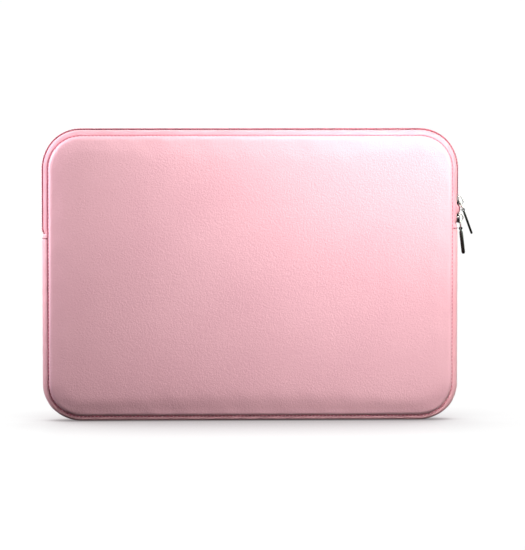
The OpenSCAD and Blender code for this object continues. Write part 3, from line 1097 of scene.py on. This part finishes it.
def hang(p, pivot, angle):
    """Swings points (x, y, z) that hang from the origin outward by an angle, and moves them to the pivot."""
    a = math.radians(angle)
    x = p[:, 0] * math.cos(a) - p[:, 2] * math.sin(a)
    z = p[:, 0] * math.sin(a) + p[:, 2] * math.cos(a)
    return np.stack([x + pivot[0], p[:, 1] + pivot[1], z + pivot[2]], 1)


def link_path():
    """The link's wire: a rounded rectangle that hangs from its top bar."""
    points = []
    b = LINK_BEND
    y0, low = LINK_ARM - b, -LINK_LEN + b
    corners = [(y0, -b, 0), (-y0, -b, 90), (-y0, low, 180), (y0, low, 270)]
    for cy, cz, start in corners:
        for i in range(9):
            a = math.radians(start + 90 * i / 8)
            points.append((0, cy + b * math.cos(a), cz + b * math.sin(a)))
    return points


def link(name, z, angle, nodes, body):
    """A slider's wire link, swung outward by an angle. Returns the place that the pull's eye hangs from."""
    path = [Vector(p) for p in link_path()]
    n, tube, verts = len(path), 12, []
    for i, c in enumerate(path):
        d = (path[(i + 1) % n] - path[i - 1]).normalized()
        e = d.cross(Vector((1, 0, 0))).normalized()
        for j in range(tube):
            a = 2 * math.pi * j / tube
            verts.append(c + (Vector((1, 0, 0)) * math.cos(a) + e * math.sin(a)) * LINK_WIRE)
    o = new_object(name, verts, loop_faces(n, tube))
    outward(o)
    pivot = (TAPE_X + PIVOT[0], 0, z + PIVOT[1])
    set_points(o, hang(points_of(o), pivot, angle))
    finish_piece(o, STEEL, nodes, body)
    a = math.radians(angle)
    return (pivot[0] + LINK_LEN * math.sin(a), 0, pivot[2] - LINK_LEN * math.cos(a))


def pull(name, eye, angle, turn, nodes, body):
    """The bar: a flat blade with a round tip, shoulders that narrow to the eye, and a bored eye."""
    width, thick, length = 4.6, 1.6, 21.3
    outline = []
    for i in range(13):  # round tip
        a = math.pi + math.pi * i / 12
        outline.append((width / 2 * math.cos(a), -length + width / 2 + width / 2 * math.sin(a)))
    shoulder = [(width / 2, -8.0), (width / 2, -4.2), (2.15, -3.2), (1.6, -2.4), (1.05, -1.8), (0.88, -1.1)]
    outline += shoulder + [(-y, z) for y, z in shoulder[::-1]]
    blade = plate("a", outline, -thick / 2, thick / 2, 0.42)
    rings, n = [], 32
    front = [(0.85, -0.75), (0.95, -0.9), (1.25, -0.9), (1.4, -0.75)]  # the eye's ring: radius and y
    profile = front + [(r, -y) for r, y in front[::-1]]
    for i in range(n):
        a = 2 * math.pi * i / n
        rings += [(r * math.cos(a), y, r * math.sin(a)) for r, y in profile]
    ring = new_object("b", rings, loop_faces(n, len(profile)))
    outward(ring)
    o = joined(name, [blade, ring])
    p = points_of(o)
    t = math.radians(turn)
    x, y = p[:, 0].copy(), p[:, 1].copy()
    p[:, 0], p[:, 1] = x * math.cos(t) - y * math.sin(t), x * math.sin(t) + y * math.cos(t)
    set_points(o, hang(p, eye, angle))
    finish_piece(o, DARK_STEEL, nodes, body)


slider("upper_slider_body", UPPER_Z, False, ["upper_slider"], "upper_slider")
slider("lower_slider_body", LOWER_Z, True, ["lower_slider"], "lower_slider")
upper_eye = link("upper_pull_link", UPPER_Z, angle=22, nodes=["upper_link"], body="upper_link")
lower_eye = link("lower_pull_link", LOWER_Z, angle=4, nodes=["lower_link"], body="lower_link")
pull("upper_pull_bar", upper_eye, angle=20, turn=0, nodes=["upper_pull"], body="upper_pull")
pull("lower_pull_bar", lower_eye, angle=6.5, turn=18, nodes=["lower_pull"], body="lower_pull")

# ---- Studio: a white floor, a soft key from the upper right, four weaker lights and one for the back ----
floor_mesh = bpy.data.meshes.new("floor")
bm = bmesh.new()
bmesh.ops.create_grid(bm, x_segments=2, y_segments=2, size=6.0)
bm.to_mesh(floor_mesh)
bm.free()
floor = bpy.data.objects.new("floor", floor_mesh)
collection.objects.link(floor)
floor.location = (0, 0, -0.0002)


def floor_material():
    """To the camera, a white floor that glows, with a contact shadow painted into the glow from ambient occlusion
    where the object stands over it, and a faint mirror image.
    To all other light it is nearly black, so that it throws little light up under the object."""
    m = bpy.data.materials.new("floor_white_painted_shadow")
    m.use_nodes = True
    tree = m.node_tree
    tree.nodes.clear()
    out = tree.nodes.new("ShaderNodeOutputMaterial")
    path = tree.nodes.new("ShaderNodeLightPath")
    shade = tree.nodes.new("ShaderNodeAmbientOcclusion")
    shade.samples = 32
    shade.inputs["Distance"].default_value = 0.16
    # painted shadow: the glow's colour darkens with ambient occlusion near the object
    level = ramp(tree, shade.outputs["AO"], [(0.12, (0.30, 0.275, 0.28)), (0.45, (0.52, 0.475, 0.485)),
                                             (0.72, (0.90, 0.87, 0.88)), (0.93, (1.10, 1.10, 1.10))])
    glow = tree.nodes.new("ShaderNodeEmission")
    tree.links.new(level, glow.inputs["Color"])
    mirror = tree.nodes.new("ShaderNodeBsdfGlossy")
    mirror.inputs["Roughness"].default_value = 0.16
    seen = tree.nodes.new("ShaderNodeMixShader")
    seen.inputs[0].default_value = 0.10
    tree.links.new(glow.outputs[0], seen.inputs[1])
    tree.links.new(mirror.outputs[0], seen.inputs[2])
    dull = tree.nodes.new("ShaderNodeBsdfDiffuse")
    dull.inputs["Color"].default_value = (0.05, 0.048, 0.048, 1)
    mix = tree.nodes.new("ShaderNodeMixShader")
    tree.links.new(path.outputs["Is Camera Ray"], mix.inputs[0])
    tree.links.new(dull.outputs[0], mix.inputs[1])
    tree.links.new(seen.outputs[0], mix.inputs[2])
    tree.links.new(mix.outputs[0], out.inputs["Surface"])
    return m


floor.data.materials.append(floor_material())


def area_light(name, location, target, size, energy, spread=180, tint=(1, 1, 1)):
    data = bpy.data.lights.new(name, "AREA")
    data.shape = "RECTANGLE"
    data.size, data.size_y = size
    data.energy = energy
    data.color = tint
    data.spread = math.radians(spread)
    o = bpy.data.objects.new(name, data)
    collection.objects.link(o)
    o.location = location
    o.rotation_euler = (Vector(target) - Vector(location)).to_track_quat("-Z", "Y").to_euler()


# name, place, aim, size in metres, energy in watts, then the spread in degrees and the tint
area_light("key", (0.26, -0.36, 0.56), (0.09, 0, 0.24), (0.26, 0.26), 1.90, spread=95, tint=(0.96, 1, 0.915))
area_light("top", (0.06, -0.26, 0.60), (0.02, 0, 0.20), (0.30, 0.26), 0.05, spread=120)
area_light("right", (0.50, -0.40, 0.30), (0.12, 0, 0.16), (0.26, 0.26), 0.80, spread=120, tint=(1, 1, 0.90))
area_light("left_rim", (-0.75, -0.05, 0.42), (-0.17, 0, 0.205), (0.06, 0.22), 0.66, spread=46)
area_light("front", (0.35, -2.3, 0.35), (0.17, 0, 0.17), (1.1, 1.1), 1.8)
area_light("back", (-0.5, 1.3, 0.75), (0, 0, 0.12), (0.8, 0.6), 6.8, spread=120)


def white_world():
    """White behind the object, and dimmer in its reflections and as a light on it."""
    world = bpy.data.worlds.new("world")
    bpy.context.scene.world = world
    world.use_nodes = True
    tree = world.node_tree
    background = tree.nodes["Background"]
    path = tree.nodes.new("ShaderNodeLightPath")
    seen = math_node(tree, "MULTIPLY", path.outputs["Is Camera Ray"], 0.98)
    mirrored = math_node(tree, "MULTIPLY", path.outputs["Is Glossy Ray"], 0.22)
    strength = math_node(tree, "ADD", math_node(tree, "ADD", seen, mirrored), 0.03)
    tree.links.new(strength, background.inputs["Strength"])
    background.inputs["Color"].default_value = (1, 1, 1, 1)


white_world()
bpy.context.scene.view_settings.view_transform = "Standard"
